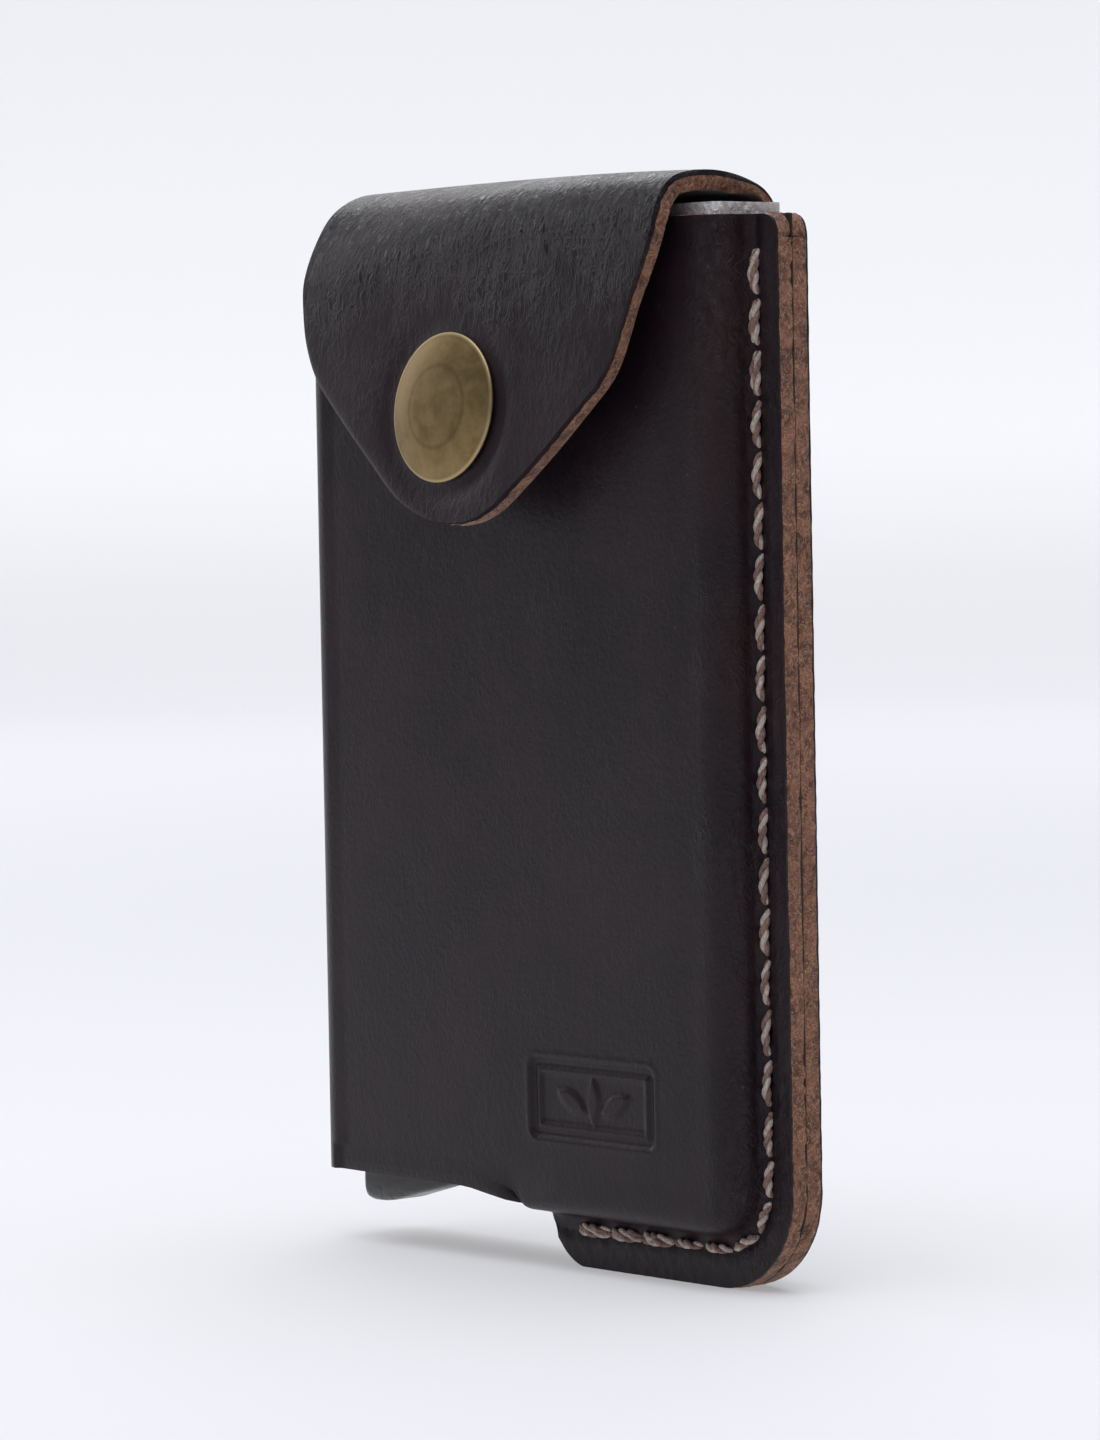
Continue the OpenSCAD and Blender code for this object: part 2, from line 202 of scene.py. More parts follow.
def sharpen(obj, angle, outward=False):
    """Keeps creases sharper than the angle; outward turns the faces out first."""
    bm = bmesh.new()
    bm.from_mesh(obj.data)
    if outward:
        bmesh.ops.recalc_face_normals(bm, faces=bm.faces)
    for e in bm.edges:
        if len(e.link_faces) == 2 and e.calc_face_angle(0) > math.radians(angle):
            e.smooth = False
    bm.to_mesh(obj.data)
    bm.free()


# ---- material helper
class Shader:
    """A material whose nodes are added one call at a time."""

    def __init__(self, name):
        self.material = bpy.data.materials.new(name)
        self.material.use_nodes = True
        self.tree = self.material.node_tree
        self.bsdf = self.tree.nodes["Principled BSDF"]
        coordinates = self.tree.nodes.new("ShaderNodeTexCoord")
        self.place = coordinates.outputs["Object"]

    def add(self, kind, out=0, props=(), **inputs):
        """Adds a node, sets or links its inputs, and returns one output. An input i0 is the first socket."""
        node = self.tree.nodes.new("ShaderNode" + kind)
        for key, value in dict(props).items():
            setattr(node, key, value)
        for key, value in inputs.items():
            at = int(key[1:]) if key[0] == "i" and key[1:].isdigit() else key.replace("_", " ")
            self.put(node.inputs[at], value)
        return node.outputs[out]

    def put(self, socket, value):
        if isinstance(value, bpy.types.NodeSocket):
            self.tree.links.new(value, socket)
        else:
            socket.default_value = value

    def set(self, **inputs):
        """Sets or links the sockets of the surface shader."""
        for key, value in inputs.items():
            self.put(self.bsdf.inputs[key.replace("_", " ")], value)

    def stretch(self, x, y, z):
        """The place with its axes scaled, which draws a texture out along the small ones."""
        return self.add("VectorMath", props={"operation": "MULTIPLY"}, i0=self.place, i1=(x, y, z))

    def noise(self, scale, detail=3.0, rough=0.55, warp=0.0, at=None):
        return self.add("TexNoise", Vector=at or self.place, Scale=scale, Detail=detail, Roughness=rough,
                        Distortion=warp)

    def cells(self, scale, at=None):
        return self.add("TexVoronoi", Vector=at or self.place, Scale=scale)

    def span(self, value, low, high, to_low=0.0, to_high=1.0):
        """Maps low..high of a value to to_low..to_high, smoothly."""
        return self.add("MapRange", props={"interpolation_type": "SMOOTHSTEP"}, i0=value, i1=low, i2=high,
                        i3=to_low, i4=to_high)

    def math(self, operation, a, b=0.0):
        return self.add("Math", props={"operation": operation}, i0=a, i1=b)

    def axis(self, letter):
        """One coordinate of the place, in metres."""
        return self.add("SeparateXYZ", out="XYZ".index(letter), i0=self.place)

    def mix(self, factor, a, b):
        """Between two colours."""
        node = self.tree.nodes.new("ShaderNodeMix")
        node.data_type = "RGBA"
        self.put(node.inputs[0], factor)
        self.put(node.inputs[6], (*a, 1) if isinstance(a, tuple) else a)
        self.put(node.inputs[7], (*b, 1) if isinstance(b, tuple) else b)
        return node.outputs[2]

    def bump(self, height, depth_mm, after=None):
        """Relief of the given depth; after is a bump to build on."""
        node = self.tree.nodes.new("ShaderNodeBump")
        node.inputs["Strength"].default_value = 1.0
        node.inputs["Distance"].default_value = depth_mm * MM
        self.put(node.inputs["Height"], height)
        if after is not None:
            self.put(node.inputs["Normal"], after)
        return node.outputs[0]


# ---- materials
def leather(name, wrinkle_from, wrinkle_to, wrinkle_mm):
    """Glossy pull-up leather, near black.

    Its wrinkles grow between two heights in millimetres, fade towards the back, and come again as creases on
    the moulded wall beside the seam, which is also redder.
    """
    s = Shader(name)
    grain = s.cells(1700)
    pores = s.noise(4200, 4, 0.6)
    patches = s.noise(70, 5, 0.65)
    streaks = s.noise(1.0, 3, 0.6, 0.3, s.stretch(500, 500, 60))
    dust = s.cells(420)
    wrinkles = s.noise(1.0, 5, 0.62, 1.0, s.stretch(1050, 560, 520))
    lines = s.math("ABSOLUTE", s.math("SUBTRACT", wrinkles, 0.5))
    creased = s.span(lines, 0.0, 0.12)
    pebbles = s.cells(1.0, at=s.stretch(1900, 1150, 1050))
    where = s.span(s.axis("Z"), wrinkle_from * MM, wrinkle_to * MM, 0.08, 1.0)
    where = s.math("MULTIPLY", where, s.span(s.noise(130, 3), 0.3, 0.65, 0.2, 1.0))
    where = s.math("MULTIPLY", where, s.span(s.axis("Y"), 4 * MM, 9 * MM, 1.0, 0.25))
    wall = s.span(s.axis("X"), 24 * MM, 29.5 * MM)
    creases = s.math("MULTIPLY", wall, s.span(s.noise(60, 2), 0.40, 0.62, 0.15, 0.8))
    where = s.math("MAXIMUM", where, creases)
    relief = s.bump(grain, 0.018)
    relief = s.bump(pores, 0.022, after=relief)
    relief = s.bump(s.math("MULTIPLY", creased, where), wrinkle_mm, after=relief)
    relief = s.bump(s.math("MULTIPLY", pebbles, where), wrinkle_mm * 0.6, after=relief)
    relief = s.bump(s.noise(26, 3), 0.22, after=relief)
    dark = s.mix(s.span(patches, 0.35, 0.7), (0.0098, 0.0050, 0.0084), (0.0175, 0.0088, 0.0120))
    red = s.math("MULTIPLY", wall, s.span(s.noise(1.0, 4, at=s.stretch(190, 190, 60)), 0.42, 0.72, 0.0, 0.5))
    base = s.mix(red, dark, (0.028, 0.011, 0.009))
    specks = s.span(dust, 0.0, 0.10, 1.0, 0.0)
    specks = s.math("MULTIPLY", specks, s.span(s.noise(190, 2), 0.5, 0.7, 0.0, 0.5))
    base = s.mix(specks, base, (0.10, 0.085, 0.085))
    worn = s.math("ADD", s.span(patches, 0.3, 0.75, 0.30, 0.40), s.span(streaks, 0.35, 0.7, 0.0, 0.04))
    glossy = s.math("SUBTRACT", worn, s.math("MULTIPLY", where, 0.07))
    s.set(Base_Color=base, Roughness=glossy, Normal=relief)
    s.set(Specular_IOR_Level=0.24, Coat_Weight=0.05, Coat_Roughness=0.2)
    return s.material


def raw_edge(name):
    """Cut edge of the leather: orange brown suede, with light curly fibre ends."""
    s = Shader(name)
    fibres = s.noise(2100, 5, 0.7, 0.7)
    strands = s.math("ABSOLUTE", s.math("SUBTRACT", s.noise(820, 4, 0.62, 1.8), 0.5))
    tufts = s.noise(620, 3, 0.6, 0.8)
    stains = s.noise(120, 3)
    base = s.mix(s.span(tufts, 0.36, 0.62), (0.095, 0.034, 0.018), (0.250, 0.100, 0.052))
    base = s.mix(s.span(strands, 0.0, 0.030, 0.75, 0.0), base, (0.58, 0.33, 0.20))
    base = s.mix(s.span(fibres, 0.58, 0.70, 0.0, 0.8), base, (0.58, 0.33, 0.20))
    base = s.mix(s.span(fibres, 0.42, 0.32, 0.0, 0.25), base, (0.035, 0.014, 0.010))
    base = s.mix(s.span(stains, 0.54, 0.74, 0.0, 0.35), base, (0.085, 0.034, 0.024))
    relief = s.bump(tufts, 0.28)
    relief = s.bump(fibres, 0.22, after=relief)
    s.set(Base_Color=base, Roughness=0.93, Normal=relief, Specular_IOR_Level=0.2, Sheen_Weight=0.25,
          Sheen_Roughness=0.5)
    return s.material


def flesh_side(name):
    """Back of the leather: matt brown suede."""
    s = Shader(name)
    nap = s.noise(1500, 5, 0.7)
    base = s.mix(s.span(nap, 0.35, 0.7), (0.045, 0.022, 0.016), (0.110, 0.058, 0.042))
    s.set(Base_Color=base, Roughness=0.95, Normal=s.bump(nap, 0.12), Sheen_Weight=0.2)
    return s.material


def waxed_thread(name, colour, pale):
    """One ply of the sewing thread, its fibres running along it."""
    s = Shader(name)
    fibres = s.noise(5200, 4, 0.7, 0.6, s.stretch(1, 1, 0.45))
    dirt = s.noise(420, 2)
    base = s.mix(s.span(fibres, 0.35, 0.68), colour, pale)
    base = s.mix(s.span(dirt, 0.5, 0.8, 0.0, 0.5), base, tuple(c * 0.55 for c in colour))
    s.set(Base_Color=base, Roughness=0.62, Normal=s.bump(fibres, 0.09), Sheen_Weight=0.3)
    return s.material


def antique_brass(name, centre):
    """Rubbed antique brass: mottled dome with a faint ring, bright rim, and painted shade towards its upper
    right. centre is in millimetres.
    """
    s = Shader(name)
    away = s.add("VectorMath", props={"operation": "SUBTRACT"}, i0=s.place, i1=tuple(c * MM for c in centre))
    radius = s.add("VectorMath", out=1, props={"operation": "LENGTH"}, i0=away)
    blotch = s.noise(480, 6, 0.72, 0.2)
    scratch = s.noise(1.0, 4, 0.7, 0.2, s.stretch(1900, 600, 600))
    base = s.mix(s.span(blotch, 0.3, 0.7), (0.205, 0.140, 0.058), (0.295, 0.212, 0.100))
    # Painted shade: the dome's colour is darkened towards its upper right
    corner = s.math("ADD", s.axis("X"), s.axis("Z"))
    base = s.mix(s.span(corner, (SNAP_X + SNAP_Z + 3) * MM, (SNAP_X + SNAP_Z + 11) * MM, 0.0, 0.15), base,
                 (0.042, 0.032, 0.018))
    ring_in = s.span(radius, 3.95 * MM, 4.2 * MM)
    ring_out = s.span(radius, 4.35 * MM, 4.6 * MM, 1.0, 0.0)
    ring = s.math("MULTIPLY", s.math("MULTIPLY", ring_in, ring_out), 0.25)
    base = s.mix(ring, base, (0.055, 0.040, 0.022))
    rim = s.span(radius, 7.1 * MM, 7.4 * MM)
    base = s.mix(s.math("MULTIPLY", rim, 0.6), base, (0.50, 0.38, 0.21))
    relief = s.bump(s.noise(600, 4), 0.014)
    relief = s.bump(scratch, 0.008, after=relief)
    s.set(Base_Color=base, Metallic=1.0, Roughness=s.span(blotch, 0.3, 0.7, 0.38, 0.50), Normal=relief)
    return s.material


def metal(name, colour, pale, roughness, relief_scale, relief_mm, brushed=(1, 1, 1), metallic=1.0):
    """A metal with a brushed or crinkled surface; its texture also moves the colour towards pale, which on
    the shell is painted glints.
    """
    s = Shader(name)
    texture = s.noise(relief_scale, 4, 0.6, 0.3, s.stretch(*brushed))
    # Colour moved to pale by the texture: tone on the brass and steel, painted glints on the shell
    base = s.mix(s.span(texture, 0.35, 0.65), colour, pale)
    low, high = roughness
    s.set(Base_Color=base, Metallic=metallic, Roughness=s.span(texture, 0.3, 0.7, low, high),
          Normal=s.bump(texture, relief_mm))
    return s.material


def plastic(name, colour, pale, roughness, relief_mm=0.01):
    """A moulded plastic with a fine spark-eroded surface."""
    s = Shader(name)
    pits = s.noise(3200, 3, 0.6)
    scuffs = s.noise(180, 5, 0.7, 0.4)
    base = s.mix(s.span(scuffs, 0.4, 0.75), colour, pale)
    s.set(Base_Color=base, Roughness=s.span(scuffs, 0.3, 0.7, roughness, roughness + 0.12),
          Normal=s.bump(pits, relief_mm))
    return s.material


def lever_plastic(name):
    """Dark grey satin moulding, crinkled and shiny along its lower edge, where a lighter colour is a painted
    reflection of the bright floor.
    """
    s = Shader(name)
    pits = s.noise(3200, 3, 0.6)
    crinkle = s.noise(700, 4, 0.6, 0.8)
    low = s.span(s.axis("Z"), 4.5 * MM, 6.6 * MM, 1.0, 0.0)
    base = s.mix(s.span(s.noise(180, 4), 0.4, 0.7), (0.020, 0.020, 0.022), (0.034, 0.034, 0.037))
    # Painted reflection: the lower edge is made lighter, as if it mirrored the bright floor
    base = s.mix(low, base, (0.050, 0.050, 0.054))
    relief = s.bump(s.math("MULTIPLY", crinkle, low), 0.22)
    relief = s.bump(pits, 0.01, after=relief)
    s.set(Base_Color=base, Roughness=s.span(low, 0.0, 1.0, 0.46, 0.26), Normal=relief)
    return s.material


def felt(name):
    """Short black felt."""
    s = Shader(name)
    nap = s.noise(2600, 5, 0.75, 0.5)
    base = s.mix(s.span(nap, 0.35, 0.7), (0.010, 0.010, 0.011), (0.045, 0.044, 0.046))
    s.set(Base_Color=base, Roughness=0.97, Normal=s.bump(nap, 0.12), Sheen_Weight=0.4)
    return s.material


SLEEVE_GRAIN = leather("sleeve_grain", 100, 112, 0.13)
FLAP_GRAIN = leather("flap_grain", 92, 106, 0.23)
EDGE = raw_edge("leather_edge")
FLESH = flesh_side("leather_flesh")


# ---- the leather sleeve
def arc_points(centre, radius, start, stop, steps):
    """Points on a circle's arc between two angles in degrees."""
    turn = np.radians(np.linspace(start, stop, steps + 1))
    return np.array(centre) + radius * np.stack([np.cos(turn), np.sin(turn)], 1)


def moulded_profile(shoulder_from, wall, shoulder_r, foot_r):
    """The skin's section over the shoulder, as rows (distance from the corner's centre line, depth)."""
    drop = HALF_T - FLANGE_HALF
    flat = np.stack([np.linspace(0, shoulder_from, 4)[:-1], np.zeros(3)], 1)
    shoulder = arc_points((wall - shoulder_r, shoulder_r), shoulder_r, -90, 0, 8)
    foot = arc_points((wall + foot_r, drop - foot_r), foot_r, 180, 90, 6)
    rest = np.stack([np.linspace(wall + foot_r, CORNER_R, 15)[1:], np.full(14, drop)], 1)
    return np.concatenate([flat, shoulder, foot, rest])


FOOT_WALL = 4.5
SIDE_PROFILE = moulded_profile(2.9, 6.2, 3.3, 0.95)
FOOT_PROFILE = moulded_profile(1.6, FOOT_WALL, 2.9, 1.75)


def falloff(distance, reach):
    """1 at and before a place, fading past it."""
    return math.exp(-max(distance, 0) / reach)


def bell(value, centre, reach):
    return math.exp(-(((value - centre) / reach) ** 2))


def smoothstep(low, high, value):
    """0 before low, 1 past high; low may be the larger one."""
    t = min(max((value - low) / (high - low), 0), 1)
    return t * t * (3 - 2 * t)


# The mark pressed into the lower right of the front: a plain panel with a border and a three-leaf sprig
MARK_LOW, MARK_HIGH = np.array([0.6, 13.4]), np.array([18.8, 21.3])
MARK_R, MARK_DEPTH = 0.9, 0.38
MARK_RELIEF = 0.26  # how high its border and sprig stand again
LEAF_LENGTH, LEAF_WIDTH = 4.4, 1.7


def box_distance(p, low, high, radius):
    """Signed distance to a rectangle with round corners; negative inside."""
    half = (high - low) / 2 - radius
    q = np.abs(p - (low + high) / 2) - half
    return math.hypot(*np.maximum(q, 0)) + min(max(q), 0) - radius


def leaf_distance(p, centre, angle, length, width):
    """Signed distance, about, to a pointed leaf."""
    turn = math.radians(angle)
    d = p - centre
    along = d[0] * math.cos(turn) + d[1] * math.sin(turn)
    across = -d[0] * math.sin(turn) + d[1] * math.cos(turn)
    t = abs(along) / (length / 2)
    return abs(across) - width / 2 * (1 - t * t) if t < 1 else abs(across) + (t - 1) * length / 2


def mark_depth(x, z):
    """How deep the pressed mark is at a place on the front."""
    p = np.array([x, z])
    edge = box_distance(p, MARK_LOW, MARK_HIGH, MARK_R)
    if edge > 0.8:
        return 0.0
    lip = -0.07 * falloff(abs(edge - 0.35), 0.25)
    depth = MARK_DEPTH * (1 - smoothstep(-0.35, 0.2, edge)) + lip
    border = abs(edge + 1.15) - 0.22
    middle = (MARK_LOW + MARK_HIGH) / 2
    sprig = min(leaf_distance(p, middle + np.array(shift), angle, LEAF_LENGTH, LEAF_WIDTH)
                for shift, angle in (((-3.2, -0.1), 155), ((0, 0.1), 90), ((3.2, -0.1), 25)))
    raised = min(border, sprig)
    return depth - MARK_RELIEF * (1 - smoothstep(-0.12, 0.28, raised))


def front_depth(x, z, marked):
    """Small sinking of a face towards its borders, and on the front the pressed mark."""
    borders = 0.20 * falloff(x - LEFT - FOLD_R, 4) + 0.22 * falloff(CORNER[0] + 1.5 - x, 5)
    foot = 0.18 * falloff(z - CORNER[1], 4)
    sag = 0.10 * noise.noise(Vector((x * 0.045, z * 0.035, 3.7)))
    return borders + foot + sag + (mark_depth(x, z) if marked else 0)


def seam_distance(x, z):
    """Distance from the line of the seam, positive towards the raw edge."""
    if z > SEAM_BEND[1]:
        return x - SEAM_BEND[0] - SEAM_R
    if x < SEAM_BEND[0]:
        return SEAM_Z - z
    return math.hypot(x - SEAM_BEND[0], z - SEAM_BEND[1]) - SEAM_R


def flange_depth(x, z):
    """The groove the thread has pulled into the flange, the strip beside it and short creases."""
    d = seam_distance(x, z)
    groove = 0.20 * bell(d, 0.1, 0.5)
    strip = -0.08 * bell(d, 1.5, 0.6)
    crease = 0.07 * noise.noise(Vector((x * 1.1, z * 1.1, 8.2)))
    return groove + strip + crease


PINCH_X, PINCH_Z, PINCH_DEPTH = -1.6, 12.0, 1.2
OPEN_EDGE = [(LEFT, 7.45), (-13.0, 7.42), (-9.7, 7.33)]  # the lower edge left of the tab
NOTCH, NOTCH_R = (-2.3, 5.1), 0.95  # the round between that edge and the tab


def pinch(x, z):
    """How far the panels are drawn in above the open edge, towards the tab."""
    drawn = smoothstep(-8.0, PINCH_X, x) * smoothstep(5.0, PINCH_X, x)
    edge = np.interp(x, [OPEN_EDGE[1][0], NOTCH[0], TAB_X], [OPEN_EDGE[1][1], NOTCH[1] + NOTCH_R, 5.0])
    return PINCH_DEPTH * drawn * min(max((PINCH_Z - z) / (PINCH_Z - edge), 0), 1) ** 2


def skin_y(x, z, depth, marked):
    """Depth coordinate of the skin: the front face lies at -HALF_T."""
    depth = max(depth, pinch(x, z))
    share = max(0.0, 1 - depth / 1.2)
    below = max(0.0, (depth - 3.6) / (HALF_T - FLANGE_HALF - 3.6))
    return -HALF_T + depth + front_depth(x, z, marked) * share + flange_depth(x, z) * below


def lower_outline():
    """Points along the lower outline, from the left fold to the round corner."""
    path = list(OPEN_EDGE)
    path += list(map(tuple, arc_points(NOTCH, NOTCH_R, 80, 25, 4)))
    for turn in np.radians(np.linspace(0, 90, 12)):
        # A superellipse, a little flatter than a round corner
        across, up = math.cos(turn) ** 1.25, math.sin(turn) ** 1.25
        path.append((TAB_X + TAB_R * (1 - across), TAB_R * (1 - up)))
    path += [(6, 0.0), (CORNER[0], 0.0)]
    return np.array(path)


MOUTH_LEFT_R, MOUTH_RIGHT_R, MOUTH_REACH = 1.4, 1.8, 10.0
MOUTH_TUCK = 0.9  # how much narrower the fold is at the mouth
HEEL_R, HEEL_RISE = 1.5, 0.9  # the fold's lower corner
STEP, FINE_STEP = 0.9, 0.26  # of the skin's grid, which is fine round the mark
WALL_NONE_Z, WALL_FULL_Z = 6.45, 5.4  # heights of the outline between which the wall grows, left of the tab


def rounded_top(x, z):
    """Height of a point once the sleeve's upper corners are rounded."""
    for r, past in ((MOUTH_RIGHT_R, x - RIGHT + MOUTH_RIGHT_R), (MOUTH_LEFT_R, LEFT + MOUTH_LEFT_R - x)):
        past = max(past, 0)
        z -= (r - math.sqrt(max(r * r - past * past, 0))) * max(0, 1 - (TOP - z) / MOUTH_REACH)
    return z


def sleeve_skin(marked):
    """Half of the sleeve's outer skin, as grids that share their borders."""
    fold = [(LEFT, 0.0), (LEFT, -1.2), (LEFT, -2.3)]
    fold += [(LEFT + FOLD_R + x, y) for x, y in arc_points((0, -HALF_T + FOLD_R), FOLD_R, 180, 270, 9)]
    face_x = np.concatenate([np.arange(LEFT + FOLD_R + 1, -1.2, STEP), np.arange(-0.9, 20.6, FINE_STEP),
                             np.linspace(20.9, CORNER[0], 7)])
    rows_z = np.concatenate([np.linspace(TOP, TOP - 1.2, 4)[:-1], np.arange(TOP - 1.2, 23.2, -STEP),
                             np.arange(22.9, 11.9, -FINE_STEP), np.linspace(11.6, CORNER[1], 6)])

    def columns(z):
        tucked = MOUTH_TUCK * smoothstep(TOP - 14, TOP - 2, z)
        row = [(x + tucked, y, rounded_top(x, z)) for x, y in fold]
        return row + [(x, skin_y(x, z, 0, marked), z) for x in face_x]

    main = np.array([columns(z) for z in rows_z])
    side = np.array([[(CORNER[0] + r, skin_y(CORNER[0] + r, z, d, marked), rounded_top(CORNER[0] + r, z))
                      for r, d in SIDE_PROFILE] for z in rows_z])

    # The round corner: the profile turns from the side's shape into the foot's
    corner = []
    for angle in np.linspace(0, 90, 33):
        share = smoothstep(0, 90, angle)
        profile = SIDE_PROFILE * (1 - share) + FOOT_PROFILE * share
        out = np.array([math.cos(math.radians(angle)), -math.sin(math.radians(angle))])
        row = []
        for r, d in profile:
            x, z = CORNER + out * r
            row.append((x, skin_y(x, z, d, marked), z))
        corner.append(row)
    corner = np.array(corner)

    # Below the flat face: columns lean so that they end square on the lower outline
    top_line = main[-1]
    outline = lower_outline()
    length = np.concatenate([[0], np.cumsum(np.linalg.norm(np.diff(outline, axis=0), axis=1))])
    stops_x = np.array([LEFT, -13, -8.5, 1.5, 4.6, CORNER[0]])
    at = np.interp([-13, -7.0], outline[:4, 0], length[:4])
    past = length[-1] - (CORNER[0] - np.array([3.4, 6.0]))
    stops_s = np.array([0, at[0], at[1], past[0], past[1], length[-1]])
    band = []
    for p in top_line:
        flat_x = p[0]
        s = np.interp(flat_x, stops_x, stops_s)
        end = np.array([np.interp(s, length, outline[:, 0]), np.interp(s, length, outline[:, 1])])
        end[1] += HEEL_RISE * max(LEFT + HEEL_R - p[0], 0) ** 2 / HEEL_R**2
        start = np.array([p[0], CORNER[1]])
        height = CORNER[1] - end[1]
        stepped = smoothstep(WALL_NONE_Z, WALL_FULL_Z, end[1])  # 1 where the column runs down over the wall
        column = []
        for r, d in FOOT_PROFILE:
            kept = min(r, FOOT_WALL)
            down = kept + (r - kept) * max(height - FOOT_WALL, 0) / (CORNER_R - FOOT_WALL)
            fall = min(down, height) * stepped + r * height / CORNER_R * (1 - stepped)
            x, z = start + (end - start) * (fall / height)
            if p[1] > -HALF_T + FOLD_R + 0.01 or flat_x < LEFT + FOLD_R:
                column.append((x, p[1], z))
            else:
                own = np.interp(fall, FOOT_PROFILE[:, 0], FOOT_PROFILE[:, 1])
                column.append((x, skin_y(x, z, d * stepped + own * (1 - stepped), marked), z))
        band.append(column)
    band = np.array(band).transpose(1, 0, 2)
    return [main, side, corner, band]


FULLER_X = (30.4, 31.4)  # between these the flange's layers grow thicker, up to the mid-plane


def sleeve_thickness(p):
    """The leather's thickness; the flange's two layers all but meet."""
    return LEATHER_T + (FLANGE_HALF - LAYER_GAP - LEATHER_T) * smoothstep(*FULLER_X, p[0])


def apart(outer, inner):
    """Cuts the open edge and the tab's end square, and keeps each layer on its own side of the mid-plane."""
    ramp = np.clip((4 - outer[:, 0]) / 3, 0, 1) * np.clip((outer[:, 0] - LEFT - FOLD_R) / 3, 0, 1)
    square = (ramp * np.clip((9.5 - outer[:, 2]) / 1.5, 0, 1))[:, None]
    straight = outer - np.sign(outer[:, 1])[:, None] * [0, LEATHER_T, 0]
    inner = inner * (1 - square) + straight * square
    inner[:, 1] = np.where(outer[:, 1] < -0.5, np.minimum(inner[:, 1], -LAYER_GAP), inner[:, 1])
    inner[:, 1] = np.where(outer[:, 1] > 0.5, np.maximum(inner[:, 1], LAYER_GAP), inner[:, 1])
    return inner


def build_sleeve():
    """The folded sleeve with its flange, both panels in one piece."""
    front = sleeve_skin(True)
    back = [block * [1, -1, 1] for block in sleeve_skin(False)]
    bm = weld([*front, *back])
    verts, faces, kinds = thicken(bm, sleeve_thickness, 8, 1, 0.03, 0.11, apart)
    verts[:, 2] = np.maximum(verts[:, 2], 0)  # no fibre goes through the ground
    obj = make_object("sleeve_leather_body", verts, faces, [SLEEVE_GRAIN, EDGE, FLESH], kinds)
    sharpen(obj, 50)
    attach(obj, "sleeve")
    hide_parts("leather_sleeve")


build_sleeve()


# ---- the flap
def bend_path(crest_y, top_r, front_r, front_turn):
    """Side view of the flap from its root over the bend and down its face, as points (y, z)."""
    top_c = np.array([crest_y, CREST_Z - top_r])
    back_turn = math.degrees(math.acos((HALF_T - BACK_R - crest_y) / (top_r - BACK_R)))

    def inside(radius, turn):
        a = math.radians(turn)
        return top_c + (top_r - radius) * np.array([math.cos(a), math.sin(a)])

    front_c, back_c = inside(front_r, front_turn), inside(BACK_R, back_turn)
    root_turn = math.degrees(math.asin((TOP - back_c[1]) / BACK_R))
    root = arc_points(back_c, BACK_R, root_turn, back_turn, 16)
    over = arc_points(top_c, top_r, back_turn, front_turn, 24)[1:]
    down = arc_points(front_c, front_r, front_turn, 180 - LEAN, 24)[1:]
    tail = np.array([[root[0][0] - 0.05, TOP - 2.6], [root[0][0] - 0.03, TOP - 1.3]])
    face = down[-1] + np.outer(np.linspace(0, FACE_REACH, 61)[1:], FACE_DOWN)
    return np.concatenate([tail, root, over, down, face]), down[-1]


FACE_REACH = 36.0  # longer than the face, which the outline cuts
FACE_DOWN = np.array([-math.sin(math.radians(LEAN)), -math.cos(math.radians(LEAN))])
RIGHT_PATH, FACE_TOP = bend_path(CREST_Y, TOP_R, FRONT_R, FRONT_TURN)
LEFT_PATH = bend_path(-0.2, 9.9, 14.5, 140.0)[0]  # at its left edge the flap bends in one wide curve


def face_y(z):
    """Depth coordinate of the flap's leaning face at a height."""
    return FACE_TOP[0] - (FACE_TOP[1] - z) * math.tan(math.radians(LEAN))


def flap_low_z(x):
    """Height of the flap's lower edge at a distance x from its middle."""
    slope, tip_r, corner_r = LEFT_OUTLINE if x < 0 else RIGHT_OUTLINE
    slope = math.radians(slope)
    x = abs(x)
    reach = tip_r * math.sin(slope)
    start_z = FLAP_TIP_Z + tip_r * (1 - math.cos(slope))
    corner_x = FLAP_HALF_W - corner_r
    corner_z = start_z + (corner_r + (corner_x - reach) * math.sin(slope)) / math.cos(slope)
    if x <= reach:
        return FLAP_TIP_Z + tip_r - math.sqrt(tip_r**2 - x * x)
    if x <= corner_x + corner_r * math.sin(slope):
        return start_z + (x - reach) * math.tan(slope)
    return corner_z - math.sqrt(max(corner_r**2 - (x - corner_x) ** 2, 0))


PARED_T = 1.0
CROWN, CURL, NARROWING, RUBBED = 0.42, 0.25, 3.7, 0.24


def flap_thickness(p):
    """Full thickness in front, pared down over the shell's back rim and in the bend's left front."""
    pared = max(smoothstep(0.5, 4.6, p[1]), 0.75 * smoothstep(-7.5, -5, p[1]) * smoothstep(-16, -26, p[0]))
    return LEATHER_T * (1 - pared) + PARED_T * pared


def flap_relief(x, y, z):
    """How far the flap's skin sinks: dipped round the cap, waved by handling."""
    away = math.hypot(x - SNAP_X, z - SNAP_Z)
    dip = 0.20 * bell(away, DIP_R, 1.3) * (1.15 - 0.35 * (z - SNAP_Z) / DIP_R)
    wave = 0.16 * noise.noise(Vector((x * 0.09, z * 0.08, 1.3)))
    fold = 0.07 * noise.noise(Vector((x * 0.75, y * 0.16, z * 0.13))) * smoothstep(90, 100, z)
    return dip + wave + fold


